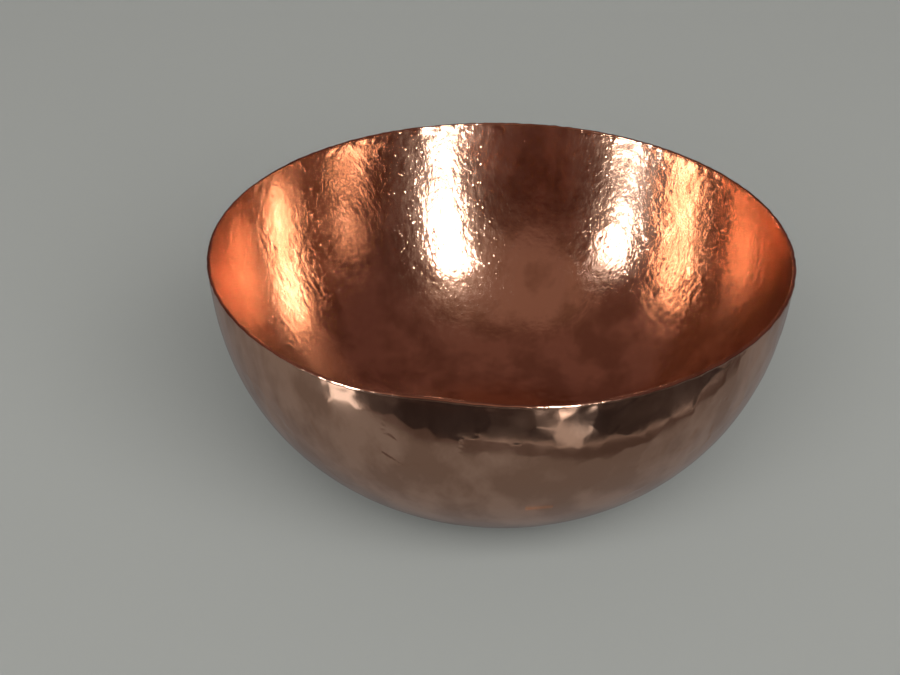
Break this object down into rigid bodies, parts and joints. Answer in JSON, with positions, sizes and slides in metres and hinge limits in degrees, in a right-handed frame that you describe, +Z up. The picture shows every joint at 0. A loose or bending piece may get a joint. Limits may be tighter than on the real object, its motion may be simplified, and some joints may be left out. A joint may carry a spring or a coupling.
{
  "type": "hammered copper bowl",
  "caption": "Deep round bowl raised from one sheet of copper and hammered inside and out, with a thickened rim and a small flat to stand on.",
  "frame": {"origin": "centre of the flat underside, at the lowest point of the bowl", "axes": "+Z up through the open mouth, along the bowl's axis of symmetry; +X to the viewer's right and +Y away"},
  "size_m": [0.2, 0.2, 0.087],
  "materials": {
    "hammered_copper": "hammered and polished copper, with fine hammer marks inside and larger flats outside"
  },
  "bodies": {
    "root": {"bowl_shell": "hammered_copper"}
  },
  "joints": []
}
